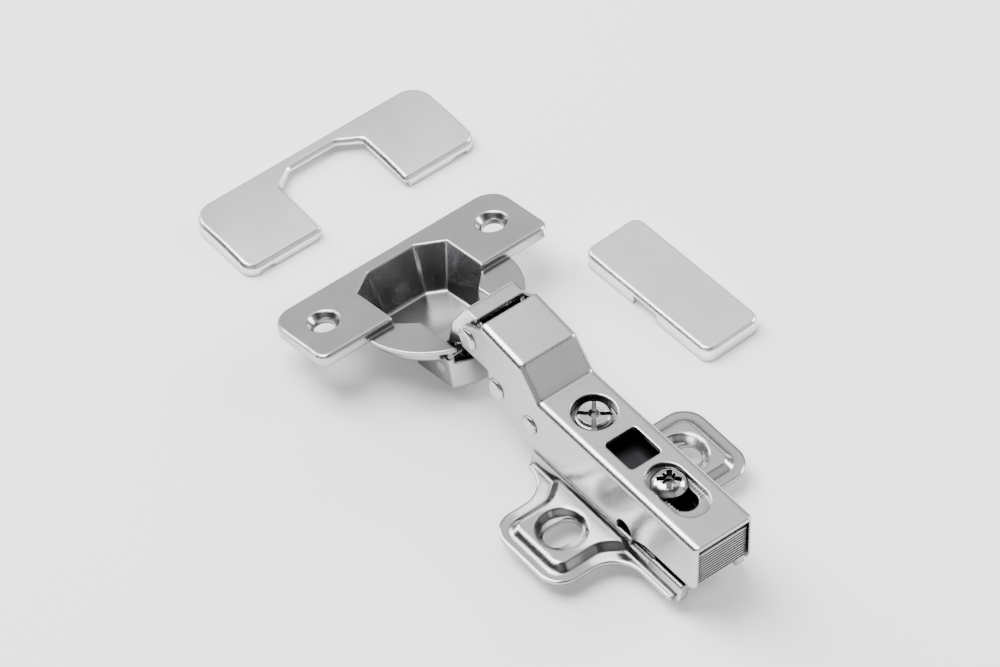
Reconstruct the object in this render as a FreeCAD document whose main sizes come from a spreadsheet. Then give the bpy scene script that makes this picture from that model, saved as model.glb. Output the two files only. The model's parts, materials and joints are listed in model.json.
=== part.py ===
import FreeCAD, Part
import math
import os
import Sketcher

# Concealed cabinet hinge with its clip mounting plate and two loose covers.
# The origin is the middle of the plate's two screw slots, on its underside.
# X runs along the hinge arm to its rear end, Z points away from the cabinet.

os.makedirs("parts", exist_ok=True)
doc = FreeCAD.newDocument("CabinetHinge")
sheet = doc.addObject("Spreadsheet::Sheet", "Sizes")


class Size:
    # A length with its value and with the expression that binds it to the sheet.
    def __init__(self, text, value):
        self.text = text
        self.value = value

    def __add__(self, other):
        other = asSize(other)
        return Size(f"({self.text} + {other.text})", self.value + other.value)

    def __radd__(self, other):
        return asSize(other) + self

    def __sub__(self, other):
        other = asSize(other)
        return Size(f"({self.text} - {other.text})", self.value - other.value)

    def __rsub__(self, other):
        return asSize(other) - self

    def __mul__(self, other):
        other = asSize(other)
        return Size(f"({self.text} * {other.text})", self.value * other.value)

    def __rmul__(self, other):
        return asSize(other) * self

    def __truediv__(self, other):
        other = asSize(other)
        return Size(f"({self.text} / {other.text})", self.value / other.value)

    def __neg__(self):
        return Size(f"(0 - {self.text})", -self.value)


def asSize(number):
    if isinstance(number, Size):
        return number
    return Size(f"({number})", float(number))


def cosine(angle):
    return Size(f"cos({angle.text} * 1 deg)", math.cos(math.radians(angle.value)))


def sine(angle):
    return Size(f"sin({angle.text} * 1 deg)", math.sin(math.radians(angle.value)))


class Table:
    # Holds each named size of the sheet.
    pass


d = Table()

sizes = {
    # Fits and gaps
    "runningGap": 0.05,
    "looseGap": 0.3,
    "threadGap": 0.06,
    "sideGap": 0.4,
    "springSideGap": 0.51875,
    "leverSpringGap": 1.35,
    "leverNotchGap": 0.95,
    # Mounting plate
    "plateHolePitch": 32,
    "plateSlotWidth": 5.6,
    "plateSlotLength": 8.8,
    "plateFront": 19.2,
    "plateRear": 28.3,
    "footHalf": 10,
    "footFront": 18.6,
    "footRear": 27.1,
    "rimThickness": 0.9,
    "ridgeHalf": 7.9,
    "ridgeTop": 3.9,
    "plateSheet": 1.7,
    "wingReach": 26.7,
    "wingHalf": 11,
    "wingCorner": 5.5,
    "wingFillet": 7,
    "fieldInset": 2.2,
    "fieldTop": 2.3,
    "fieldSlope": 52,
    "screwRimRadius": 5.7,
    "ridgeNotchStart": 12.2,
    "ridgeNotchEnd": 18.6,
    # Arm
    "armSheet": 1.1,
    "armWidth": 15.6,
    "armTop": 18.6,
    "armRear": 32,
    "creaseX": -18.4,
    "humpRearX": -24.2,
    "humpRearTop": 24.9,
    "humpFrontX": -37,
    "humpFrontTop": 26.4,
    "earFrontX": -42.9,
    "earBottom": 15.1,
    "armFoot": 4.2,
    "armRearFoot": 4.9,
    "roofRound": 1.6,
    "sideScrewX": -9.5,
    "sideRecessRadius": 4.9,
    "sideRecessDepth": 2.6,
    "clampX": 14.4,
    "clampTravel": 5.1,
    "clampRecessHalf": 4.33,
    "clampRecessDepth": 1.3,
    "clampLedge": 1.5,
    "windowFrontX": -1.6,
    "windowRearX": 7.4,
    "windowHalf": 4.1,
    "windowCorner": 1,
    # Link pivots in the arm and their pins
    "outerPivotX": -41,
    "outerPivotZ": 19,
    "innerPivotX": -31.7,
    "innerPivotZ": 11.65,
    "crossPinX": -20.6,
    "crossPinZ": 10.3,
    "linkPinRadius": 1.6,
    "crossPinRadius": 1.5,
    "outerHeadRadius": 2.6,
    "innerHeadRadius": 2.5,
    "crossHeadRadius": 2.2,
    "rivetHeadHeight": 0.8,
    # Cup
    "cupTilt": 12.4,
    "cupPlaneX": -70.85,
    "cupPlaneZ": 8.85,
    "cupHolePitch": 45,
    "cupHoleOffset": 9.4,
    "cupRadius": 17.5,
    "cupLipRadius": 18.8,
    "cupSheet": 1,
    "flangeBack": 9.5,
    "flangeFront": 10.1,
    "flangeHalf": 30.5,
    "flangeCorner": 5.5,
    "skirtHeight": 2.5,
    "shoulderLevel": 1.7,
    "bandDepth": 5.6,
    "bandDraft": 15,
    "flangeRound": 0.5,
    "cupFloorRound": 1.6,
    "cupScrewRadius": 2.4,
    "cupScrewRimRadius": 3.65,
    "troughHalf": 12.3,
    "throatHalf": 7.9,
    "troughFloor": 11,
    "throatFloor": 12,
    "troughDraft": 14.5,
    "notchDepth": 6.5,
    "outerLegX": 21,
    "outerLegDepth": 9,
    "innerLegX": 23.5,
    "innerLegDepth": 4.8,
    "outerLegRadius": 1.2,
    "innerLegRadius": 1,
    # Links
    "linkSheet": 1.2,
    "outerWrapRadius": 5.7,
    "outerWrapReach": 2.9,
    # Clip base, shoe and lever
    "baseTop": 13.2,
    "baseFrontX": -17.5,
    "baseRearX": 24,
    "baseSheet": 1.1,
    "shoeThickness": 1.1,
    "shoeFrontX": -15,
    "shoeRearX": 24,
    "leverPinX": 9.7,
    "leverPinZ": 6,
    "leverPinRadius": 1.5,
    "leverTop": 15.4,
    "leverRearX": 31.3,
    "leverFoot": 6.3,
    "ribPitch": 0.75,
    "ribDepth": 0.45,
    "screwHeadRadius": 3.95,
    "screwShankRadius": 2,
    "screwTurn": 50,
    # Springs
    "springWire": 0.65,
    "springRadius": 2.45,
    "springTurns": 4,
    "leverSpringWire": 0.2,
    # Loose covers
    "floorLevel": -3.9,
    "coverSheet": 1,
    "cupCoverLength": 62.4,
    "cupCoverWidth": 21.8,
    "cupCoverHeight": 3.5,
    "cupCoverX": -109.7,
    "cupCoverY": 10.3,
    "coverCrown": 92,
    "coverLip": 1.7,
    "armCoverLength": 39.2,
    "armCoverWidth": 15.6,
    "armCoverHeight": 3.9,
    "armCoverX": -39.4,
    "armCoverY": 46.2,
    "armCoverTurn": 2.6,
}
for row, (name, number) in enumerate(sizes.items(), 1):
    sheet.set(f"A{row}", name)
    sheet.set(f"B{row}", str(number))
    sheet.setAlias(f"B{row}", name)
    setattr(d, name, Size(f"Sizes.{name}", float(number)))
doc.recompute()

# Sizes that follow from the piece they fit in, less a named gap
fitted = {
    "baseHalf": "armWidth / 2 - armSheet - sideGap",
    "outerLinkHalf": "armWidth / 2 - armSheet - sideGap",
    "innerLinkHalf": "outerLinkHalf - linkSheet - looseGap",
    "springPitch": "2 * (outerLinkHalf - linkSheet - springWire - springSideGap) / (springTurns + 0.25)",
    "leverSpringY": "baseHalf - baseSheet - leverSpringGap",
}
for row, (name, formula) in enumerate(fitted.items(), len(sizes) + 1):
    sheet.set(f"A{row}", name)
    sheet.set(f"B{row}", "=" + formula)
    sheet.setAlias(f"B{row}", name)
    doc.recompute()
    setattr(d, name, Size(f"Sizes.{name}", float(sheet.get(name))))


def newBody(label):
    body = doc.addObject("PartDesign::Body", label)
    body.Label = label
    return body


def place(body, x=0, y=0, z=0, axis=None, angle=None):
    # Moves a piece to its seat, and turns it about an axis through that seat.
    turn = FreeCAD.Rotation(axis, angle.value) if axis else FreeCAD.Rotation()
    seat = FreeCAD.Vector(asSize(x).value, asSize(y).value, asSize(z).value)
    body.Placement = FreeCAD.Placement(seat, turn)
    for name, size in (("x", x), ("y", y), ("z", z)):
        body.setExpression(f"Placement.Base.{name}", asSize(size).text)


def disc(x, y, radius):
    return ("disc", asSize(x), asSize(y), asSize(radius))


def stadium(startX, startY, endX, endY, radius):
    return ("stadium", *[asSize(item) for item in (startX, startY, endX, endY, radius)])


def outline(*corners):
    # A closed run of corners, each with its own rounding where a third size is given.
    return ("outline", [[asSize(item) for item in corner] for corner in corners])


def block(x0, x1, y0, y1):
    return outline((x0, y0), (x1, y0), (x1, y1), (x0, y1))


def fixPoint(sketch, item, end, x, y):
    for kind, size in (("DistanceX", x), ("DistanceY", y)):
        index = sketch.addConstraint(Sketcher.Constraint(kind, item, end, size.value))
        sketch.setExpression(f"Constraints[{index}]", size.text)


def fixRadius(sketch, item, size):
    index = sketch.addConstraint(Sketcher.Constraint("Radius", item, size.value))
    sketch.setExpression(f"Constraints[{index}]", size.text)


def drawDisc(sketch, x, y, radius):
    centre = FreeCAD.Vector(x.value, y.value, 0)
    item = sketch.addGeometry(Part.Circle(centre, FreeCAD.Vector(0, 0, 1), radius.value))
    fixPoint(sketch, item, 3, x, y)
    fixRadius(sketch, item, radius)


def drawStadium(sketch, x0, y0, x1, y1, radius):
    first = FreeCAD.Vector(x0.value, y0.value, 0)
    last = FreeCAD.Vector(x1.value, y1.value, 0)
    along = (last - first).normalize()
    side = FreeCAD.Vector(-along.y, along.x, 0) * radius.value
    heading = math.atan2(along.y, along.x)
    quarter = math.pi / 2
    up = FreeCAD.Vector(0, 0, 1)
    arcs = []
    for centre, start in ((first, heading + quarter), (last, heading - quarter)):
        circle = Part.Circle(centre, up, radius.value)
        arcs.append(sketch.addGeometry(Part.ArcOfCircle(circle, start, start + math.pi)))
    lower = sketch.addGeometry(Part.LineSegment(first - side, last - side))
    upper = sketch.addGeometry(Part.LineSegment(last + side, first + side))
    sketch.addConstraint(Sketcher.Constraint("Tangent", arcs[0], 2, lower, 1))
    sketch.addConstraint(Sketcher.Constraint("Tangent", lower, 2, arcs[1], 1))
    sketch.addConstraint(Sketcher.Constraint("Tangent", arcs[1], 2, upper, 1))
    sketch.addConstraint(Sketcher.Constraint("Tangent", upper, 2, arcs[0], 1))
    fixPoint(sketch, arcs[0], 3, x0, y0)
    fixPoint(sketch, arcs[1], 3, x1, y1)
    fixRadius(sketch, arcs[0], radius)


def drawOutline(sketch, corners):
    count = len(corners)
    points = [FreeCAD.Vector(corner[0].value, corner[1].value, 0) for corner in corners]
    trims = []
    for index, corner in enumerate(corners):
        before = (points[index - 1] - points[index]).normalize()
        after = (points[(index + 1) % count] - points[index]).normalize()
        trim = 0
        if len(corner) > 2:
            half = before.getAngle(after) / 2
            trim = corner[2].value / math.tan(half)
        trims.append((before, after, trim))
    lines = []
    for index in range(count):
        start = points[index] + trims[index][1] * trims[index][2]
        other = (index + 1) % count
        end = points[other] + trims[other][0] * trims[other][2]
        lines.append(sketch.addGeometry(Part.LineSegment(start, end)))
    for index, corner in enumerate(corners):
        coming, leaving = lines[index - 1], lines[index]
        if len(corner) == 2:
            sketch.addConstraint(Sketcher.Constraint("Coincident", coming, 2, leaving, 1))
            fixPoint(sketch, leaving, 1, corner[0], corner[1])
            continue
        before, after, trim = trims[index]
        inward = (before + after).normalize()
        half = before.getAngle(after) / 2
        centre = points[index] + inward * (corner[2].value / math.sin(half))
        begin = points[index] + before * trim - centre
        finish = points[index] + after * trim - centre
        left = before.cross(after).z < 0
        if not left:
            begin, finish = finish, begin
        fromAngle = math.atan2(begin.y, begin.x)
        toAngle = math.atan2(finish.y, finish.x)
        if toAngle < fromAngle:
            toAngle += 2 * math.pi
        circle = Part.Circle(centre, FreeCAD.Vector(0, 0, 1), corner[2].value)
        arc = sketch.addGeometry(Part.ArcOfCircle(circle, fromAngle, toAngle))
        ends = (1, 2) if left else (2, 1)
        sketch.addConstraint(Sketcher.Constraint("Tangent", coming, 2, arc, ends[0]))
        sketch.addConstraint(Sketcher.Constraint("Tangent", arc, ends[1], leaving, 1))
        fixRadius(sketch, arc, corner[2])
        apex = sketch.addGeometry(Part.Point(points[index]), True)
        fixPoint(sketch, apex, 1, corner[0], corner[1])
        sketch.addConstraint(Sketcher.Constraint("PointOnObject", apex, 1, coming))
        sketch.addConstraint(Sketcher.Constraint("PointOnObject", apex, 1, leaving))


def draw(body, plane, height, loops):
    sketch = body.newObject("Sketcher::SketchObject", body.Label + "Sketch")
    origin = [item for item in body.Origin.OriginFeatures if item.Role == plane + "_Plane"]
    sketch.AttachmentSupport = [(origin[0], "")]
    sketch.MapMode = "FlatFace"
    sketch.AttachmentOffset = FreeCAD.Placement(FreeCAD.Vector(0, 0, height.value), FreeCAD.Rotation())
    sketch.setExpression("AttachmentOffset.Base.z", height.text)
    for loop in loops:
        if loop[0] == "disc":
            drawDisc(sketch, *loop[1:])
        elif loop[0] == "stadium":
            drawStadium(sketch, *loop[1:])
        else:
            drawOutline(sketch, loop[1])
    return sketch


def spanOf(plane, low, high):
    # The XZ plane faces along minus Y, so a span given in Y is turned round there.
    low, high = asSize(low), asSize(high)
    return (-high, -low) if plane == "XZ" else (low, high)


def pad(body, plane, low, high, *loops, taper=None, down=False):
    low, high = spanOf(plane, low, high)
    feature = body.newObject("PartDesign::Pad", body.Label + "Pad")
    feature.Profile = draw(body, plane, high if down else low, loops)
    feature.Reversed = down
    feature.setExpression("Length", (high - low).text)
    if taper is not None:
        feature.setExpression("TaperAngle", (-asSize(taper)).text)
    return feature


def pocket(body, plane, low, high, *loops, taper=None):
    low, high = spanOf(plane, low, high)
    feature = body.newObject("PartDesign::Pocket", body.Label + "Pocket")
    feature.Profile = draw(body, plane, high, loops)
    feature.setExpression("Length", (high - low).text)
    if taper is not None:
        feature.setExpression("TaperAngle", (-asSize(taper)).text)
    return feature


def spin(body, *loops, about=None):
    # Turns a half profile about the piece's own Z axis, or about an upright line beside it.
    sketch = draw(body, "XZ", asSize(0), loops)
    line = "V_Axis"
    if about is not None:
        ends = [FreeCAD.Vector(about.value, height, 0) for height in (-30, 30)]
        item = sketch.addGeometry(Part.LineSegment(*ends), True)
        fixPoint(sketch, item, 1, about, asSize(-30))
        fixPoint(sketch, item, 2, about, asSize(30))
        line = "Axis0"
    feature = body.newObject("PartDesign::Revolution", body.Label + "Turned")
    feature.Profile = sketch
    feature.ReferenceAxis = (sketch, [line])
    feature.Angle = 360
    return feature


def repeat(body, feature, axis, length, count):
    pattern = body.newObject("PartDesign::LinearPattern", body.Label + "Row")
    pattern.Originals = [feature]
    base = [item for item in body.Origin.OriginFeatures if item.Role == axis + "_Axis"]
    pattern.Direction = (base[0], [""])
    pattern.setExpression("Length", asSize(length).text)
    pattern.Occurrences = count
    body.Tip = pattern
    return pattern


def roundEdges(body, radius, wanted, flat=False):
    # Rounds the wanted edges, or breaks them with a flat where a small one does.
    doc.recompute()
    names = []
    for index, edge in enumerate(body.Shape.Edges):
        if wanted(edge):
            names.append(f"Edge{index + 1}")
    tip = body.Tip
    feature = body.newObject("PartDesign::Chamfer" if flat else "PartDesign::Fillet", body.Label + "Edge")
    feature.Base = (tip, names)
    feature.setExpression("Size" if flat else "Radius", asSize(radius).text)
    body.Tip = feature
    return feature


# Mounting plate: a stamped hat-shaped ridge on a thin foot, with a slotted wing on each side.
plate = newBody("mounting_plate")
wing = d.wingReach
pad(plate, "XY", 0, d.rimThickness, outline(
    (-d.footFront, -d.footHalf, 0.4), (-d.wingHalf, -d.footHalf, d.wingFillet),
    (-d.wingHalf, -wing, d.wingCorner), (d.wingHalf, -wing, d.wingCorner),
    (d.wingHalf, -d.footHalf, d.wingFillet), (d.footRear, -d.footHalf, 0.4),
    (d.footRear, d.footHalf, 0.4), (d.wingHalf, d.footHalf, d.wingFillet),
    (d.wingHalf, wing, d.wingCorner), (-d.wingHalf, wing, d.wingCorner),
    (-d.wingHalf, d.footHalf, d.wingFillet), (-d.footFront, d.footHalf, 0.4)))
fieldHalf = d.wingHalf - d.fieldInset
fieldReach = wing - d.fieldInset
for side in (-1, 1):
    corners = [
        (-fieldHalf - 4.5, side * (d.ridgeHalf - 1)), (-fieldHalf, side * (d.footHalf + 3), 4.5),
        (-fieldHalf, side * fieldReach, 3.6), (fieldHalf, side * fieldReach, 3.6),
        (fieldHalf, side * (d.footHalf + 3), 4.5), (fieldHalf + 4.5, side * (d.ridgeHalf - 1))]
    pad(plate, "XY", d.rimThickness, d.fieldTop, outline(*corners[::-side]), taper=d.fieldSlope)
pad(plate, "YZ", -d.plateFront, d.plateRear, outline(
    (-d.ridgeHalf - 0.9, 0), (d.ridgeHalf + 0.9, 0), (d.ridgeHalf + 0.7, 1.4, 0.5),
    (d.ridgeHalf, d.ridgeTop, 0.8), (-d.ridgeHalf, d.ridgeTop, 0.8), (-d.ridgeHalf - 0.7, 1.4, 0.5)))
ridgeInner = d.ridgeHalf - d.plateSheet
pocket(plate, "YZ", -d.plateFront - 1, d.plateRear + 1, outline(
    (-ridgeInner - 0.3, -1), (ridgeInner + 0.3, -1), (ridgeInner, d.ridgeTop - d.plateSheet, 0.5),
    (-ridgeInner, d.ridgeTop - d.plateSheet, 0.5)))
slotReach = (d.plateSlotLength - d.plateSlotWidth) / 2
for side in (-1, 1):
    centre = side * d.plateHolePitch / 2
    pocket(plate, "XY", d.rimThickness, d.fieldTop, disc(0, centre, d.screwRimRadius), taper=42)
    pocket(plate, "XY", -1, d.fieldTop, stadium(
        0, centre - slotReach, 0, centre + slotReach, d.plateSlotWidth / 2))
    ridgeEdge = sorted(((side * (d.ridgeHalf - 0.9), side * (d.ridgeHalf + 2))), key=lambda s: s.value)
    pocket(plate, "XY", d.ridgeTop - 1.1, d.ridgeTop + 1,
           block(d.ridgeNotchStart, d.ridgeNotchEnd, *ridgeEdge))
pocket(plate, "XY", -1, d.ridgeTop + 1, block(-16.9, -11, -4, 4))
pocket(plate, "XY", -1, d.ridgeTop + 1, block(6.9, 12.6, -3.6, 3.6))

# Clip base: the fixed channel that hooks on the plate and carries lever and clamp screw.
base = newBody("clip_base")
pad(base, "YZ", d.baseFrontX, d.baseRearX, outline(
    (-d.baseHalf, d.ridgeTop), (d.baseSheet - d.baseHalf, d.ridgeTop),
    (d.baseSheet - d.baseHalf, d.baseTop - d.baseSheet, 0.4),
    (d.baseHalf - d.baseSheet, d.baseTop - d.baseSheet, 0.4), (d.baseHalf - d.baseSheet, d.ridgeTop),
    (d.baseHalf, d.ridgeTop), (d.baseHalf, d.baseTop, 1.3), (-d.baseHalf, d.baseTop, 1.3)))
pad(base, "XZ", -3.8, 3.8, outline(
    (-16.8, 0.8), (-13.4, 0.8), (-13.4, 1.9), (-15.6, 1.9), (-15.6, 12.6), (-16.8, 12.6)))
pad(base, "XZ", -3.8, 3.8, outline(
    (-18.4, 0.9), (-16.5, 0.9), (-16.5, 2.1), (-18.4, 2.1)))
pad(base, "XY", 10.1, d.baseTop - 0.3, disc(d.clampX, 0, d.screwShankRadius + 1.3))
pocket(base, "XY", 9, d.baseTop + 1, disc(d.clampX, 0, d.screwShankRadius + d.threadGap))
pocket(base, "XY", 11.5, d.baseTop + 1, stadium(
    d.sideScrewX - d.clampTravel, 0, d.sideScrewX, 0, 3.1))
pocket(base, "XZ", -10, 10, disc(d.leverPinX, d.leverPinZ, d.leverPinRadius))

# Lever pin
leverPin = newBody("lever_pin")
spin(leverPin, outline((0, -d.baseHalf), (d.leverPinRadius, -d.baseHalf),
                       (d.leverPinRadius, d.baseHalf), (0, d.baseHalf)))
place(leverPin, d.leverPinX, 0, d.leverPinZ, FreeCAD.Vector(1, 0, 0), asSize(90))

# Release lever: hinged on its pin, ribbed at the rear, with a toe under the plate's ridge.
lever = newBody("release_lever")
leverHalf = d.baseHalf - d.baseSheet - d.looseGap
pad(lever, "XZ", -leverHalf, leverHalf, outline(
    (7.6, 4.4, 1), (26.4, 4.8, 0.6), (27.4, d.leverFoot, 0.6), (29, d.leverFoot),
    (29, 9.2), (24.6, 8.8), (12, 8.6), (7.6, 8.2, 1.5)))
pad(lever, "XZ", -d.baseHalf, d.baseHalf, outline(
    (24.6, 8.6), (27.3, d.leverFoot, 0.5), (d.leverRearX, d.leverFoot, 0.5),
    (d.leverRearX, d.leverTop, 0.3), (d.leverRearX - 1.3, d.leverTop), (29.6, 10.5, 1.5), (26.3, 9.2)))
pad(lever, "XZ", -3, 3, outline(
    (7.8, 0.9), (10.9, 0.9), (10.9, 5), (8.2, 5), (8.2, 2.2), (6.75, 2), (6.75, 0.9)))
pocket(lever, "XY", 0, 12, block(7, 12.6, d.leverSpringY - d.leverNotchGap, d.baseHalf))
groove = pocket(lever, "XZ", -10, 10, outline(
    (d.leverRearX - d.ribDepth, d.leverFoot + 0.6), (d.leverRearX + 0.2, d.leverFoot + 0.5),
    (d.leverRearX + 0.2, d.leverFoot + 1), (d.leverRearX - d.ribDepth, d.leverFoot + 0.9)))
doc.recompute()
repeat(lever, groove, "Z", d.ribPitch * 10, 11)
pocket(lever, "XZ", -10, 10, disc(d.leverPinX, d.leverPinZ, d.leverPinRadius + d.runningGap))

# Depth clamp screw: a domed cross-recess head over a shank threaded into the clip base.
clampScrew = newBody("depth_clamp_screw")
headSeat = d.armTop - d.clampRecessDepth + 0.2
spin(clampScrew, outline(
    (0, 9.4), (d.screwShankRadius - 0.3, 9.4), (d.screwShankRadius, 9.8), (d.screwShankRadius, headSeat),
    (d.screwHeadRadius - 0.15, headSeat), (d.screwHeadRadius, headSeat + 0.7), (2.6, headSeat + 2.1, 3),
    (0, headSeat + 2.1)))
starDepth = headSeat + 0.7
for reach, width in ((2.6, 1.2), (1.9, 0.7)):
    for turn in (0, 1):
        across = (-width / 2, width / 2, -reach, reach) if turn else (-reach, reach, -width / 2, width / 2)
        star = pocket(clampScrew, "XY", starDepth, headSeat + 3, block(*across))
        if width < 1:
            star.Profile[0].AttachmentOffset = FreeCAD.Placement(
                star.Profile[0].AttachmentOffset.Base, FreeCAD.Rotation(FreeCAD.Vector(0, 0, 1), 45))
pocket(clampScrew, "XY", headSeat + 0.2, headSeat + 3, disc(0, 0, 1.2))
place(clampScrew, d.clampX, 0, 0, FreeCAD.Vector(0, 0, 1), d.screwTurn)

# Adjuster shoe: slides along the clip base and gives the arm its rocking line.
shoe = newBody("adjuster_shoe")
shoeBottom = d.baseTop + d.runningGap
shoeTop = shoeBottom + d.shoeThickness
pad(shoe, "XY", shoeBottom, shoeTop, outline(
    (d.shoeFrontX, -d.baseHalf + 0.1, 1), (d.shoeRearX, -d.baseHalf + 0.1, 1),
    (d.shoeRearX, d.baseHalf - 0.1, 1), (d.shoeFrontX, d.baseHalf - 0.1, 1)))
rockTop = d.armTop - d.clampRecessDepth - d.armSheet - 0.15
pad(shoe, "XZ", -d.baseHalf + 0.1, d.baseHalf - 0.1, outline(
    (d.clampX - 2, shoeTop - 0.2), (d.clampX + 2, shoeTop - 0.2),
    (d.clampX + 1.4, rockTop, 0.9), (d.clampX - 1.4, rockTop, 0.9)))
pocket(shoe, "XY", 12, 17, stadium(d.clampX, 0, d.clampX + d.clampTravel, 0, d.screwShankRadius + 0.4))
pocket(shoe, "XY", 12, 17, stadium(
    d.shoeFrontX - 3, 0, d.sideScrewX, 0, 1.5 + d.runningGap))

# Side adjusting screw: its foot turns in the shoe and its thread lifts the front of the arm.
sideScrew = newBody("side_adjust_screw")
recessFloor = d.armTop - d.sideRecessDepth
spin(sideScrew, outline(
    (0, shoeBottom - 1.2), (2.6, shoeBottom - 1.2), (2.6, shoeBottom - 0.15), (1.5, shoeBottom - 0.15),
    (1.5, shoeTop + 0.1), (d.screwShankRadius, shoeTop + 0.4), (d.screwShankRadius, recessFloor + 1.05),
    (d.screwHeadRadius, recessFloor + 1.05), (d.screwHeadRadius, d.armTop - 1),
    (d.screwHeadRadius - 0.4, d.armTop - 0.85), (d.screwHeadRadius - 0.4, d.armTop - 0.5),
    (d.screwHeadRadius - 0.75, d.armTop - 0.2), (1.9, d.armTop - 0.35), (0, d.armTop - 0.35)))
for turn in (0, 1):
    across = (-0.5, 0.5, -5, 5) if turn else (-5, 5, -0.5, 0.5)
    pocket(sideScrew, "XY", recessFloor + 1.5, d.armTop + 1, block(*across))
pocket(sideScrew, "XY", recessFloor + 1.2, d.armTop + 1, disc(0, 0, 1.3))
place(sideScrew, d.sideScrewX, 0, 0, FreeCAD.Vector(0, 0, 1), d.screwTurn)

# Hinge arm: one folded channel with hump, front ears, pressed recesses and a window.
arm = newBody("arm")
half = d.armWidth / 2
roofInner = d.armTop - d.armSheet


def isSideEdge(edge):
    return abs(abs(edge.CenterOfMass.y) - half.value) < 0.01


pad(arm, "XZ", -half, half, outline(
    (d.armRear, d.armTop, 0.3), (d.creaseX, d.armTop, 1.2), (d.humpRearX, d.humpRearTop, 1.8),
    (d.humpFrontX, d.humpFrontTop), (d.humpFrontX, 24.8), (-42.5, 22.1, 0.8),
    (d.earFrontX, d.earBottom, 0.5), (-34.5, d.earBottom, 0.4), (-33.8, 8.2, 1), (-30.4, 6.9),
    (-27.6, 5.3, 1), (-23.8, 4.8), (-21, d.armFoot, 1), (11, d.armFoot), (13, d.armRearFoot),
    (31, d.armRearFoot, 1), (d.armRear, 6.8, 0.4)))
roundEdges(arm, d.roofRound, lambda edge: isSideEdge(edge) and edge.CenterOfMass.x > -36.9
           and edge.CenterOfMass.z > 18.4 and edge.CenterOfMass.x < 31.5)
pocket(arm, "XZ", d.armSheet - half, half - d.armSheet, outline(
    (d.armRear + 9, roofInner), (d.creaseX - 0.45, roofInner, 0.4),
    (d.humpRearX - 0.45, d.humpRearTop - 1.15, 1), (d.humpFrontX - 0.1, d.humpFrontTop - 1.1),
    (d.humpFrontX - 0.1, 32), (-52, 32), (-52, -3), (d.armRear + 9, -3)))
pad(arm, "XY", recessFloor - d.armSheet, d.armTop - 0.5, disc(d.sideScrewX, 0, d.sideRecessRadius + 1))
pocket(arm, "XY", recessFloor, d.armTop + 1, disc(d.sideScrewX, 0, d.sideRecessRadius))
pocket(arm, "XY", 10, d.armTop + 1, disc(d.sideScrewX, 0, d.screwShankRadius + 0.15))
recessRear = d.clampX + d.clampTravel + 1.4
ledgeTop = d.armTop - d.clampRecessDepth
pad(arm, "XY", ledgeTop - d.armSheet, d.armTop - 0.3, stadium(
    d.clampX - 1, 0, recessRear, 0, d.clampRecessHalf + 0.9))
pocket(arm, "XY", ledgeTop, d.armTop + 1, stadium(d.clampX - 1, 0, recessRear, 0, d.clampRecessHalf))
pocket(arm, "XY", 10, d.armTop + 1, stadium(
    d.clampX, 0, d.clampX + d.clampTravel, 0, d.clampRecessHalf - d.clampLedge))
tooth = pocket(arm, "XZ", 0.2 - d.clampRecessHalf, d.clampRecessHalf - 0.2, outline(
    (d.clampX - 0.35, ledgeTop + 0.01), (d.clampX, ledgeTop - 0.25), (d.clampX + 0.35, ledgeTop + 0.01)))
doc.recompute()
repeat(arm, tooth, "X", 6.4, 9)
pocket(arm, "XY", 10, d.armTop + 1, outline(
    (d.windowFrontX, -d.windowHalf, d.windowCorner), (d.windowRearX, -d.windowHalf, d.windowCorner),
    (d.windowRearX, d.windowHalf, d.windowCorner), (d.windowFrontX, d.windowHalf, d.windowCorner)))
pocket(arm, "XZ", -10, 10, disc(d.outerPivotX, d.outerPivotZ, d.linkPinRadius),
       disc(d.innerPivotX, d.innerPivotZ, d.linkPinRadius),
       disc(d.crossPinX, d.crossPinZ, d.crossPinRadius))
pocket(arm, "XZ", -10, 10, disc(d.leverPinX, 5.2, 2.3))


def rivet(label, x, z, radius, headRadius):
    # A plain pin with a low domed head pressed up on each end.
    body = newBody(label)
    reach = half + d.rivetHeadHeight
    spin(body, outline(
        (0, -reach), (headRadius - 1.1, -reach), (headRadius - 0.4, 0.25 - reach),
        (headRadius, -half - 0.15), (headRadius, -half), (radius, -half),
        (radius, half), (headRadius, half), (headRadius, half + 0.15),
        (headRadius - 0.4, reach - 0.25), (headRadius - 1.1, reach), (0, reach)))
    place(body, x, 0, z, FreeCAD.Vector(1, 0, 0), asSize(90))
    return body


outerPin = rivet("outer_link_pin", d.outerPivotX, d.outerPivotZ, d.linkPinRadius, d.outerHeadRadius)
innerPin = rivet("inner_link_pin", d.innerPivotX, d.innerPivotZ, d.linkPinRadius, d.innerHeadRadius)
crossPin = rivet("cross_pin", d.crossPinX, d.crossPinZ, d.crossPinRadius, d.crossHeadRadius)

# Seats of the cup and of its two pivot legs, seen from the tilted flange plane.
tiltCos = cosine(d.cupTilt)
tiltSin = sine(d.cupTilt)
outerLegWorldX = d.cupPlaneX + d.outerLegX * tiltCos + d.outerLegDepth * tiltSin
outerLegWorldZ = d.cupPlaneZ + d.outerLegX * tiltSin - d.outerLegDepth * tiltCos
innerLegWorldX = d.cupPlaneX + d.innerLegX * tiltCos + d.innerLegDepth * tiltSin
innerLegWorldZ = d.cupPlaneZ + d.innerLegX * tiltSin - d.innerLegDepth * tiltCos

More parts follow.
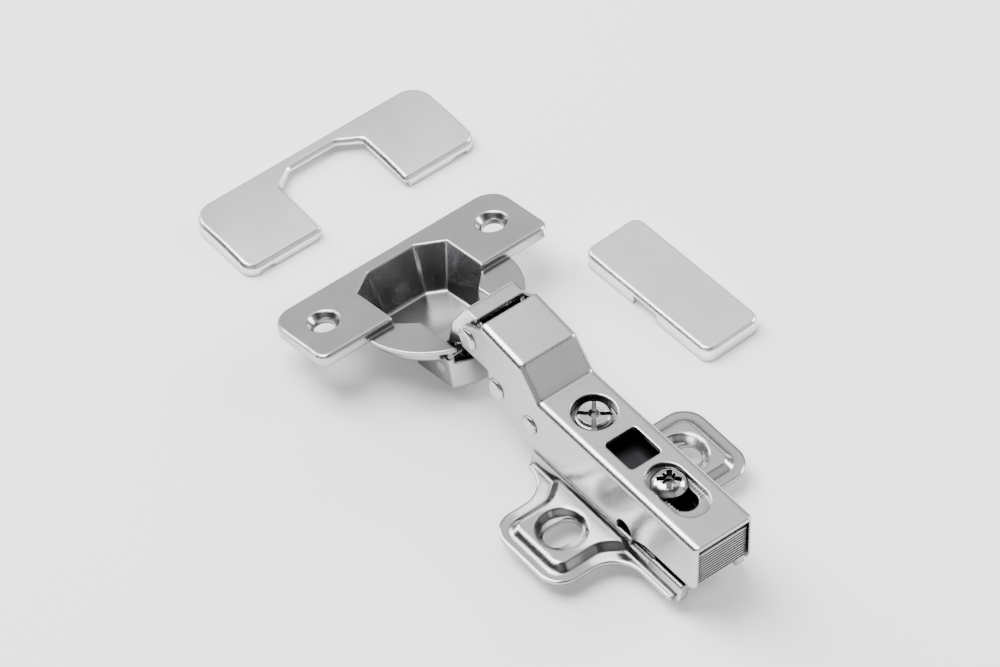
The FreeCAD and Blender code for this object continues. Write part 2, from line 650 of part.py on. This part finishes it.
# Outer link: a folded channel that wraps over its pin in front of the closing spring.
outerLink = newBody("outer_link")
wrapTop = d.outerPivotZ + d.outerWrapRadius
wrapFront = d.outerPivotX - d.outerWrapReach
pad(outerLink, "XZ", -d.outerLinkHalf, d.outerLinkHalf, outline(
    (d.outerPivotX + 1, wrapTop, 0.3), (wrapFront, wrapTop, 1.6),
    (d.outerPivotX - 6.9, d.outerPivotZ - 1.5, 3),
    (outerLegWorldX - 2.3, outerLegWorldZ - 2.3, 1.9), (outerLegWorldX + 2.3, outerLegWorldZ - 2.3, 1.9),
    (outerLegWorldX + 2.3, outerLegWorldZ + 2.2, 1.6), (outerLegWorldX - 0.3, outerLegWorldZ + 3.4, 1.3),
    (innerLegWorldX - 1.5, innerLegWorldZ + 1.6, 1.4),
    (d.outerPivotX - 1.4, d.outerPivotZ - 4.6, 3), (d.outerPivotX + 3.3, d.outerPivotZ - 1.4, 3),
    (d.outerPivotX + 3.3, d.outerPivotZ + 2.6, 1.5), (d.outerPivotX + 1, wrapTop - d.linkSheet - 0.1)))
pocket(outerLink, "XZ", d.linkSheet - d.outerLinkHalf, d.outerLinkHalf - d.linkSheet, outline(
    (d.outerPivotX + 9, wrapTop - d.linkSheet), (wrapFront + d.linkSheet, wrapTop - d.linkSheet, 0.5),
    (d.outerPivotX - 5.6, d.outerPivotZ - 1.8, 2),
    (outerLegWorldX - 1.1, outerLegWorldZ - 4), (d.outerPivotX + 9, outerLegWorldZ - 4)))
pocket(outerLink, "XZ", d.linkSheet - d.outerLinkHalf, d.outerLinkHalf - d.linkSheet, outline(
    (-60, -6), (-30, -6), (-30, outerLegWorldZ + 10), (-60, outerLegWorldZ + 10)))
pocket(outerLink, "XZ", -10, 10, disc(d.outerPivotX, d.outerPivotZ, d.linkPinRadius + d.runningGap),
       disc(outerLegWorldX, outerLegWorldZ, d.outerLegRadius + d.runningGap))

# Inner link: a folded channel from the cup's upper leg to its pin in the arm.
innerLink = newBody("inner_link")
linkTop = d.innerPivotZ + 3
pad(innerLink, "XZ", -d.innerLinkHalf, d.innerLinkHalf, outline(
    (innerLegWorldX - 1.9, innerLegWorldZ - 1.9, 1.8), (innerLegWorldX + 1.9, innerLegWorldZ - 1.9, 1.8),
    (innerLegWorldX + 1.9, linkTop - 2.7, 0.8), (d.innerPivotX - 7.6, linkTop - 1.5, 1.5),
    (d.innerPivotX - 5.8, d.innerPivotZ - 3.6, 2.6), (d.innerPivotX + 3.4, d.innerPivotZ - 3.6, 2.9),
    (d.innerPivotX + 3.4, linkTop, 2.8), (innerLegWorldX + 2.6, linkTop, 2),
    (innerLegWorldX - 1.9, innerLegWorldZ + 2.2, 1.8)))
pocket(innerLink, "XZ", d.linkSheet - d.innerLinkHalf, d.innerLinkHalf - d.linkSheet, outline(
    (-60, -6), (-20, -6), (-20, linkTop - d.linkSheet), (innerLegWorldX + 3.4, linkTop - d.linkSheet),
    (innerLegWorldX + 2.6, linkTop - 2), (-60, linkTop - 2)))
pocket(innerLink, "XZ", -10, 10, disc(innerLegWorldX, innerLegWorldZ, d.innerLegRadius + d.runningGap))
pocket(innerLink, "XZ", -10, 10, stadium(
    d.innerPivotX - 2.6, d.innerPivotZ - 0.38, d.innerPivotX, d.innerPivotZ - 0.3, d.linkPinRadius + 0.5))

# Cup: drawn in one piece with its screw flange, modelled level and then tilted into its seat.
cup = newBody("cup")
back, front = -d.flangeBack, d.flangeFront
wide = d.flangeHalf
inset = d.cupSheet
pad(cup, "XY", -d.throatFloor - d.cupSheet, -d.shoulderLevel,
    block(12, 29, -d.throatHalf - 1, d.throatHalf + 1))
pocket(cup, "XY", -d.throatFloor - 3, 0,
       block(-40, 60, -40, 40), disc(d.cupHoleOffset, 0, d.cupRadius - 0.2))
bandIn = (d.bandDepth - d.shoulderLevel) * sine(d.bandDraft) / cosine(d.bandDraft)
rim = d.cupHoleOffset + d.cupRadius
spin(cup, outline(
    (rim, -d.shoulderLevel), (rim - bandIn, -d.bandDepth), (rim - bandIn - inset, -d.bandDepth),
    (rim - inset, -d.shoulderLevel)), about=d.cupHoleOffset)
pad(cup, "XY", -d.shoulderLevel - 0.9, -d.shoulderLevel, disc(d.cupHoleOffset, 0, d.cupLipRadius))
pad(cup, "XY", -d.skirtHeight, -0.5, outline(
    (back, -wide, d.flangeCorner), (front, -wide, 2.5), (front, wide, 2.5), (back, wide, d.flangeCorner)),
    outline((back + inset, inset - wide, d.flangeCorner - inset), (front - inset, inset - wide, 1.5),
            (front - inset, wide - inset, 1.5), (back + inset, wide - inset, d.flangeCorner - inset)))
pad(cup, "XY", -inset, 0, outline(
    (back, -wide, d.flangeCorner), (front, -wide, 2.5), (front, wide, 2.5), (back, wide, d.flangeCorner)))
roundEdges(cup, d.flangeRound, lambda edge: abs(edge.CenterOfMass.z) < 0.01
           and edge.CenterOfMass.x < 9.5, flat=True)
for side in (-1, 1):
    pad(cup, "XY", -d.skirtHeight, -0.5, disc(0, side * d.cupHolePitch / 2, d.cupScrewRimRadius + 0.6))
pad(cup, "XY", -d.troughFloor - d.cupSheet, -0.3, outline(
    (-7.1, -6.4), (-2.6, -d.troughHalf - 0.6), (10.7, -d.troughHalf - 0.6),
    (16, -d.throatHalf - 0.7), (18, -d.throatHalf - 0.7),
    (18, d.throatHalf + 0.7), (16, d.throatHalf + 0.7),
    (10.7, d.troughHalf + 0.6), (-2.6, d.troughHalf + 0.6), (-7.1, 6.4)),
    taper=d.troughDraft, down=True)
cupBottom = d.troughFloor + d.cupSheet
roundEdges(cup, d.cupFloorRound, lambda edge: abs(edge.CenterOfMass.z + cupBottom.value) < 0.01
           and edge.CenterOfMass.x < 11, flat=True)
pocket(cup, "XY", -d.shoulderLevel, 1, block(front, 45, -30, 30))
pocket(cup, "XY", -d.troughFloor, 1, outline(
    (-6.5, -6.2), (-2.3, -d.troughHalf), (10.4, -d.troughHalf), (14.9, -d.throatHalf),
    (16.5, -d.throatHalf), (16.5, d.throatHalf), (14.9, d.throatHalf), (10.4, d.troughHalf),
    (-2.3, d.troughHalf), (-6.5, 6.2)), taper=d.troughDraft)
roundEdges(cup, d.cupFloorRound - 0.8, lambda edge: abs(edge.CenterOfMass.z + d.troughFloor.value) < 0.01
           and edge.CenterOfMass.x < 8)
step = d.throatFloor - d.troughFloor
pocket(cup, "XZ", -6.4, 6.4, outline(
    (8.8, step / 4 - d.troughFloor), (13.2, -d.throatFloor), (13.2, 0.6 - d.troughFloor),
    (8.8, 0.6 - d.troughFloor)))
pocket(cup, "XY", -d.throatFloor, 1, outline(
    (12.15, -d.throatHalf + 1.1), (13.6, -d.throatHalf + 0.2), (20, -d.throatHalf),
    (d.cupHoleOffset + 13.9, -d.throatHalf, 0.6), (d.cupHoleOffset + 18.7, 0, 13.4),
    (d.cupHoleOffset + 13.9, d.throatHalf, 0.6),
    (20, d.throatHalf), (13.6, d.throatHalf - 0.2), (12.15, d.throatHalf - 1.1)))
pocket(cup, "XY", -d.notchDepth, 1, block(22, 40, -d.throatHalf, d.throatHalf))
for side in (-1, 1):
    centre = side * d.cupHolePitch / 2
    pocket(cup, "XY", -1.4, 0, disc(0, centre, d.cupScrewRimRadius), taper=40)
    pocket(cup, "XY", -4, 1, disc(0, centre, d.cupScrewRadius))
pocket(cup, "XZ", -10, 10, disc(d.outerLegX, -d.outerLegDepth, d.outerLegRadius),
       disc(d.innerLegX, -d.innerLegDepth, d.innerLegRadius))
place(cup, d.cupPlaneX, 0, d.cupPlaneZ, FreeCAD.Vector(0, -1, 0), d.cupTilt)


def legPin(label, x, z, radius, reach):
    body = newBody(label)
    spin(body, outline((0, -reach), (radius, -reach), (radius, reach), (0, reach)))
    place(body, x, 0, z, FreeCAD.Vector(1, 0, 0), asSize(90))
    return body


outerLegPin = legPin("outer_cup_pin", outerLegWorldX, outerLegWorldZ, d.outerLegRadius, d.throatHalf + 1)
innerLegPin = legPin("inner_cup_pin", innerLegWorldX, innerLegWorldZ, d.innerLegRadius, d.throatHalf + 0.7)

# Closing spring: a torsion coil on the outer pin, one leg under the hump, one before the link.
wire = d.springWire.value
coilRadius = d.springRadius.value
coilLength = d.springPitch.value * (d.springTurns.value + 0.25)


def hexagon(radius, centre, way):
    # A six sided section of the wire's own area, square to its run.
    corner = FreeCAD.Vector(0, 0, 1).cross(way).normalize() * (radius * 1.1)
    turns = [FreeCAD.Rotation(way, 60 * step) for step in range(7)]
    return [centre + turn.multVec(corner) for turn in turns]


def coil(label, pitch, length, radius, wireRadius, headLeg, tailLeg):
    # A wound wire that starts at the top of its turns, with a straight leg at each end.
    helix = Part.makeHelix(pitch, length, radius)
    helix.translate(FreeCAD.Vector(0, 0, -length / 2))
    helix.rotate(FreeCAD.Vector(0, 0, 0), FreeCAD.Vector(0, 0, 1), 90)
    opening, closing = helix.Edges[0], helix.Edges[-1]
    top, topWay = opening.valueAt(opening.FirstParameter), opening.tangentAt(opening.FirstParameter)
    tip, tipWay = closing.valueAt(closing.LastParameter), closing.tangentAt(closing.LastParameter)
    farEnd = top - topWay * headLeg
    head = Part.makeLine(farEnd, top)
    tail = Part.makeLine(tip, tip + tipWay * tailLeg)
    spine = Part.Wire([head] + helix.Edges + [tail])
    ring = Part.Wire(Part.makePolygon(hexagon(wireRadius, farEnd, topWay)))
    piece = doc.addObject("Part::Feature", label)
    piece.Label = label
    piece.Shape = spine.makePipeShell([ring], True, True)
    return piece


alongY = FreeCAD.Rotation(FreeCAD.Vector(1, 0, 0), 90)
closingSpring = coil("closing_spring", d.springPitch.value, coilLength, coilRadius, wire, 12, 0.4)
closingSpring.Placement = FreeCAD.Placement(
    FreeCAD.Vector(d.outerPivotX.value, 0, d.outerPivotZ.value), alongY)

# Lever spring: a light torsion coil on the lever pin, with both legs to the rear.
smallWire = d.leverSpringWire.value
smallRadius = d.leverPinRadius.value + 0.05 + smallWire
leverSpring = coil("lever_spring", 0.75, 0.75 * 1.5, smallRadius, smallWire, 2.4, 0.6)
leverSpring.Placement = FreeCAD.Placement(
    FreeCAD.Vector(d.leverPinX.value, d.leverSpringY.value, d.leverPinZ.value), alongY)

# Cup cover: a thin bare cap with a bay that leaves the cup's opening free.
cupCover = newBody("cup_cover_cap")
coverHalf = d.cupCoverLength / 2
coverWide = d.cupCoverWidth / 2


baySide = 11.1
bay = [(coverWide, -baySide, 1.2), (coverWide - 15, -baySide, 1), (coverWide - 18.2, -6.2, 2),
       (coverWide - 18.2, 6.2, 2), (coverWide - 15, baySide, 1), (coverWide, baySide, 1.2)]
pad(cupCover, "XY", 0, d.cupCoverHeight, outline(
    (-coverWide, -coverHalf, 5.5), (coverWide, -coverHalf, 3), *bay,
    (coverWide, coverHalf, 3), (-coverWide, coverHalf, 5.5)))
shell = d.coverSheet
sag = coverWide * coverWide / d.coverCrown / 2
pocket(cupCover, "XZ", -coverHalf - 1, coverHalf + 1, outline(
    (-coverWide * 1.2, d.cupCoverHeight - sag * 1.4), (0, d.cupCoverHeight + sag, d.coverCrown),
    (coverWide * 1.2, d.cupCoverHeight - sag * 1.4), (coverWide * 1.2, d.cupCoverHeight + 3),
    (-coverWide * 1.2, d.cupCoverHeight + 3)))
roundEdges(cupCover, 0.7, lambda edge: edge.CenterOfMass.z > d.cupCoverHeight.value - 0.9, flat=True)
pocket(cupCover, "XY", -1, d.cupCoverHeight - d.coverLip, outline(
    (shell - coverWide, shell - coverHalf, 4.5), (coverWide - shell, shell - coverHalf, 2),
    (coverWide - shell, -baySide - 1.2), (coverWide + 1, -baySide - 1.2), (coverWide + 1, baySide + 1.2),
    (coverWide - shell, baySide + 1.2), (coverWide - shell, coverHalf - shell, 2),
    (shell - coverWide, coverHalf - shell, 4.5)))
pocket(cupCover, "XY", -1, d.cupCoverHeight - shell - 0.5, outline(
    (shell - coverWide, shell - coverHalf, 4.5), (coverWide - shell, shell - coverHalf, 2),
    (coverWide - shell, -baySide - 1), (coverWide - 15.6, -baySide - 1), (coverWide - 19.2, -6.6),
    (coverWide - 19.2, 6.6), (coverWide - 15.6, baySide + 1), (coverWide - shell, baySide + 1),
    (coverWide - shell, coverHalf - shell, 2), (shell - coverWide, coverHalf - shell, 4.5)))
for side in (-1, 1):
    notch = sorted((side * 24.3, side * 27.8))
    pocket(cupCover, "XY", -1, 0.9, block(coverWide - shell - 0.5, coverWide + 1, *notch))
place(cupCover, d.cupCoverX, d.cupCoverY, d.floorLevel)

# Arm cover: a long thin bare cap with turned-down sides.
armCover = newBody("arm_cover_cap")
longHalf = d.armCoverLength / 2
shortHalf = d.armCoverWidth / 2
pad(armCover, "XY", 0, d.armCoverHeight, outline(
    (-longHalf, -shortHalf, 2.6), (longHalf, -shortHalf, 2.6), (longHalf, shortHalf, 2.6),
    (-longHalf, shortHalf, 2.6)))
roundEdges(armCover, 0.6, lambda edge: abs(edge.CenterOfMass.z - d.armCoverHeight.value) < 0.01, flat=True)
pocket(armCover, "XY", -1, d.armCoverHeight - shell, outline(
    (shell - longHalf, shell - shortHalf, 1.6), (longHalf - shell, shell - shortHalf, 1.6),
    (longHalf - shell, shortHalf - shell, 1.6), (shell - longHalf, shortHalf - shell, 1.6)))
pocket(armCover, "XZ", -shortHalf - 1, 1.8 - shortHalf, outline(
    (-3.8, -1), (4.6, -1), (3.4, d.armCoverHeight - 1.3), (-3.8, d.armCoverHeight - 1.3)))
place(armCover, d.armCoverX, d.armCoverY, d.floorLevel, FreeCAD.Vector(0, 0, 1), d.armCoverTurn)

doc.recompute()
names = ["mounting_plate", "clip_base", "lever_pin", "release_lever", "lever_spring", "depth_clamp_screw",
         "adjuster_shoe", "side_adjust_screw", "arm", "outer_link_pin", "inner_link_pin", "cross_pin",
         "closing_spring", "outer_link", "inner_link", "cup", "outer_cup_pin", "inner_cup_pin",
         "cup_cover_cap", "arm_cover_cap"]
faults = [item.Label for item in doc.Objects if "Invalid" in item.State or "Error" in item.State]
pieces = {item.Label: item for item in doc.Objects if item.Label in names}
for label in names:
    shape = pieces[label].Shape
    if shape.isNull() or not shape.isValid() or not shape.Solids:
        faults.append(label)
    print(label, len(shape.Solids), round(shape.Volume, 2), len(shape.Faces), shape.BoundBox)
if faults:
    raise RuntimeError("unsound: " + ", ".join(faults))
for label in names:
    pieces[label].Shape.exportStep(f"parts/{label}.step")
print("written", len(names))
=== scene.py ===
import json
import math
import bpy
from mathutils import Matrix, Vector


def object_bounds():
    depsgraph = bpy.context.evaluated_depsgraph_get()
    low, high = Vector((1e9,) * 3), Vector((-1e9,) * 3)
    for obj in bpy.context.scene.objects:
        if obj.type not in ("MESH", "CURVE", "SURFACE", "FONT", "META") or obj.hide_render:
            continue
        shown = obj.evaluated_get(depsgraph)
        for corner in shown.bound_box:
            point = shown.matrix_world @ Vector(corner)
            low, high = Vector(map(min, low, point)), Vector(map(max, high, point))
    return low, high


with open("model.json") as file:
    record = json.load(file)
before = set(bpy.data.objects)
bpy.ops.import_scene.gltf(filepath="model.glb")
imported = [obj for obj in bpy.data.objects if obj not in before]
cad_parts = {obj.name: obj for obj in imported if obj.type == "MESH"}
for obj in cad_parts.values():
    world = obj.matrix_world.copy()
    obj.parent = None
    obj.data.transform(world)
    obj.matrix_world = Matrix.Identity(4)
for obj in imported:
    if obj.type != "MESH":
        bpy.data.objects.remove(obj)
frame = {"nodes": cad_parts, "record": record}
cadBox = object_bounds()
print("frame loaded", len(frame["nodes"]), "pieces")

mm = 0.001


def feed(tree, socket, value):
    # a link if the value comes from another node, else the value itself
    if isinstance(value, Wire):
        tree.links.new(value.socket, socket)
    else:
        socket.default_value = value


class Wire:
    # one output socket, so that shader maths reads as plain expressions
    def __init__(self, tree, socket):
        self.tree = tree
        self.socket = socket

    def combine(self, operation, first, second):
        node = self.tree.nodes.new("ShaderNodeMath")
        node.operation = operation
        feed(self.tree, node.inputs[0], first)
        feed(self.tree, node.inputs[1], second)
        return Wire(self.tree, node.outputs[0])

    def __add__(self, other):
        return self.combine("ADD", self, other)

    def __radd__(self, other):
        return self.combine("ADD", other, self)

    def __sub__(self, other):
        return self.combine("SUBTRACT", self, other)

    def __rsub__(self, other):
        return self.combine("SUBTRACT", other, self)

    def __mul__(self, other):
        return self.combine("MULTIPLY", self, other)

    def __rmul__(self, other):
        return self.combine("MULTIPLY", other, self)

    def __pow__(self, other):
        return self.combine("POWER", self, other)

    def __rpow__(self, other):
        return self.combine("POWER", other, self)


class Nodes:
    # a node tree with one method that adds any node but plain maths
    def __init__(self, tree):
        self.tree = tree

    def node(self, kind, settings=None, output=0, **sockets):
        node = self.tree.nodes.new("ShaderNode" + kind)
        for key, value in (settings or {}).items():
            if key == "stops":
                self.fillRamp(node.color_ramp, value)
            else:
                setattr(node, key, value)
        self.feedAll(node, sockets)
        return Wire(self.tree, node.outputs[output])

    def fillRamp(self, ramp, stops):
        while len(ramp.elements) < len(stops):
            ramp.elements.new(0.5)  # its own place comes next
        for stop, (place, grey) in zip(ramp.elements, stops):
            stop.position = place
            stop.color = (grey, grey, grey, 1)

    def feedAll(self, node, sockets):
        for key, value in sockets.items():
            feed(self.tree, node.inputs[key.replace("_", " ")], value)

    def blend(self, factor, first, second):
        mix = self.node("Mix", {"data_type": "RGBA"}, output=2)
        for place, value in ((0, factor), (6, first), (7, second)):  # the colour sockets of a Mix node
            feed(self.tree, mix.socket.node.inputs[place], value)
        return mix


class Finish(Nodes):
    # a material with its main shader
    def __init__(self, name):
        self.material = bpy.data.materials.new(name)
        self.material.use_nodes = True
        super().__init__(self.material.node_tree)
        self.shader = self.tree.nodes["Principled BSDF"]

    def set(self, **sockets):
        self.feedAll(self.shader, sockets)


# colours are linear and rough is the gloss; edge is the radius of the bends and recess the reach
# of the shade painted into the base colour in hollows, both in mm, and recessFall is how quickly that
# painted shade comes
looks = {
    "polished_plate": {"colour": (0.54, 0.54, 0.55), "rough": 0.15, "edge": 1.1, "ripple": 0.8,
                       "recess": 4.5, "recessFall": 3.5},
    # dark steel, its base colour taken lower still to paint the shade inside the arm's window and slot
    # where this steel is seen
    "dark_steel": {"colour": (0.10, 0.10, 0.11), "rough": 0.34, "edge": 0.2,
                   "recess": 14.0, "recessFall": 3.0},
    "grey_lever": {"colour": (0.42, 0.42, 0.43), "rough": 0.38, "edge": 0.05,
                   "recess": 1.6, "recessFall": 9.0},
    "spring_steel": {"colour": (0.55, 0.55, 0.56), "rough": 0.25, "edge": 0.2},
    "screw_steel": {"colour": (0.62, 0.62, 0.63), "rough": 0.20, "edge": 0.08,
                    "recess": 2.6, "recessFall": 3.6},
    "nickel_steel": {"colour": (0.53, 0.53, 0.54), "rough": 0.27, "edge": 0.6,
                     "recess": 3.0, "recessFall": 1.3},
    "rivet_steel": {"colour": (0.60, 0.60, 0.61), "rough": 0.24, "edge": 0.3,
                    "recess": 2.0, "recessFall": 2.0},
    "cup_steel": {"colour": (0.57, 0.57, 0.58), "rough": 0.22, "edge": 0.75,
                  "recess": 14.0, "recessFall": 2.0},
    "satin_cap": {"colour": (0.88, 0.88, 0.89), "rough": 0.24, "edge": 0.7},
}
# what every finish starts from; its own look above goes over this
sharedLook = {
    "rippleScale": 260.0, "rippleDetail": 3.0, "ripple": 0.5,
    "grainScale": 3200.0, "grainDetail": 2.0, "grain": 0.10, "grainRough": 0.06,
    "patchScale": 90.0, "patchDetail": 2.0, "patchLow": 0.3, "patchHigh": 0.7, "patchDark": 0.93,
    "patchRough": 0.08,
    "recess": 2.5, "recessFall": 1.0, "recessShade": 0.15, "recessSamples": 8,
    "bendSamples": 8, "relief": 0.35, "reliefDepth": 0.1,
}


def platedSteel(name, look):
    # plating on steel: uneven gloss, a faint ripple, shade painted into the colour of hollows, and
    # bends that catch the light
    finish = Finish(name)
    place = finish.node("TexCoord", output="Object")
    middle = 0.5  # of the noise, which runs from 0 to 1

    def noise(kind):
        return finish.node("TexNoise", {"noise_dimensions": "3D"}, Vector=place,
                           Scale=look[kind + "Scale"], Detail=look[kind + "Detail"])

    def shade(part):
        return tuple(part * channel for channel in look["colour"]) + (1,)

    ripple, grain, patches = noise("ripple"), noise("grain"), noise("patch")
    unevenness = (patches - middle) * look["patchRough"] + (grain - middle) * look["grainRough"]
    cleanness = finish.node("MapRange", Value=patches, From_Min=look["patchLow"],
                            From_Max=look["patchHigh"])
    plating = finish.blend(cleanness, shade(look["patchDark"]), shade(1))
    # painted shade: ambient occlusion darkens the base colour towards the recess shade level in
    # hollows, grooves and deep pockets
    openness = finish.node("AmbientOcclusion", {"samples": look["recessSamples"]}, output="AO",
                           Distance=look["recess"] * mm)
    colour = finish.blend(openness ** look["recessFall"], shade(look["recessShade"]), plating)
    bend = finish.node("Bevel", {"samples": look["bendSamples"]}, Radius=look["edge"] * mm)
    height = ripple * look["ripple"] + grain * look["grain"]
    relief = finish.node("Bump", Height=height, Distance=look["reliefDepth"] * mm,
                         Strength=look["relief"], Normal=bend)
    finish.set(Base_Color=colour, Roughness=unevenness + look["rough"], Normal=relief, Metallic=1.0)
    return finish.material


finishes = {name: platedSteel(name, {**sharedLook, **look}) for name, look in looks.items()}
for part in frame["record"]["subparts"]:
    for slot in frame["nodes"][part["node"]].material_slots:
        slot.material = finishes[part["material_slot"]]
print("finishes made", len(finishes))

# size in metres; gap is the air under the lowest piece, in mm
table = {"size": 4.0, "gap": 0.05, "colour": (0.86, 0.86, 0.86, 1), "rough": 0.9, "glow": 0.30}


def makeTable():
    half = table["size"] / 2
    level = cadBox[0][2] - table["gap"] * mm
    corners = [(-half, -half, level), (half, -half, level), (half, half, level), (-half, half, level)]
    mesh = bpy.data.meshes.new("floor")
    mesh.from_pydata(corners, [], [(0, 1, 2, 3)])
    floor = bpy.data.objects.new("floor", mesh)
    bpy.context.scene.collection.objects.link(floor)
    paper = Finish("white_table")
    paper.set(Base_Color=table["colour"], Roughness=table["rough"],
              Emission_Color=table["colour"], Emission_Strength=table["glow"])
    mesh.materials.append(paper.material)


makeTable()
print("table laid")

# brightness of the room by height of the direction, and by how far it turns towards the viewer
roomLight = {
    "byHeight": [(0.0, 0.35), (0.25, 0.60), (0.47, 0.90), (0.75, 1.30), (0.85, 1.30), (0.93, 2.1)],
    "byTurn": [(0.0, 1.0), (0.34, 1.0), (0.42, 0.50), (0.47, 0.05), (0.74, 0.02), (0.96, 0.80)],
    "towardsViewer": (0.78, -0.63),
}


def makeRoom():
    # bright above and behind the part, with a dark band on the viewer's side that outlines the bends
    world = bpy.data.worlds.new("studio")
    world.use_nodes = True
    bpy.context.scene.world = world
    room = Nodes(world.node_tree)
    split = room.node("SeparateXYZ", Vector=room.node("TexCoord", output="Generated"))
    sideways, along, upwards = (Wire(room.tree, socket) for socket in split.socket.node.outputs)
    across, ahead = roomLight["towardsViewer"]
    turned = (sideways * across + along * ahead) * 0.5 + 0.5  # from -1 to 1, brought to 0 to 1
    byHeight = room.node("ValToRGB", {"stops": roomLight["byHeight"]}, Fac=upwards)
    byTurn = room.node("ValToRGB", {"stops": roomLight["byTurn"]}, Fac=turned)
    room.feedAll(room.tree.nodes["Background"], {"Color": byHeight * byTurn})


makeRoom()
print("room lit")

# place and size in metres, power in watts
lamps = {
    "overhead": {"place": (-0.40, -0.25, 1.1), "size": 0.8, "power": 29.0},
    "left": {"place": (-1.0, -0.3, 0.7), "size": 0.6, "power": 12.0},
    "right": {"place": (0.3, 1.1, 0.7), "size": 0.5, "power": 12.0},
    "low": {"place": (0.95, 0.50, 0.52), "size": 0.9, "power": 2.2},
}
# the view of the photograph: angles in degrees, distance in metres, the rest in mm
view = {"azimuth": 51.1, "elevation": 48.32, "distance": 1.40625, "lens": 243.0, "sensor": 36.0,
        "target": (-45.62, 4.48, 8.0)}
target = Vector(view["target"]) * mm


def setUp(thing, place):
    # puts a lamp or the camera in the scene, turned towards the target
    thing.location = place
    thing.rotation_euler = (target - Vector(place)).to_track_quat("-Z", "Y").to_euler()
    bpy.context.scene.collection.objects.link(thing)


def makeLamp(name, lamp):
    light = bpy.data.lights.new(name, "AREA")
    light.shape = "SQUARE"
    light.size = lamp["size"]
    light.energy = lamp["power"]
    setUp(bpy.data.objects.new(name, light), lamp["place"])


def makeCamera():
    turn = math.radians(view["azimuth"])
    rise = math.radians(view["elevation"])
    back = Vector((math.sin(turn) * math.cos(rise), -math.cos(turn) * math.cos(rise), math.sin(rise)))
    camera = bpy.data.cameras.new("camera")
    camera.lens = view["lens"]
    camera.sensor_width = view["sensor"]
    holder = bpy.data.objects.new("camera", camera)
    setUp(holder, target + back * view["distance"])
    bpy.context.scene.camera = holder


for name, lamp in lamps.items():
    makeLamp(name, lamp)
makeCamera()
print("lamps and camera set")
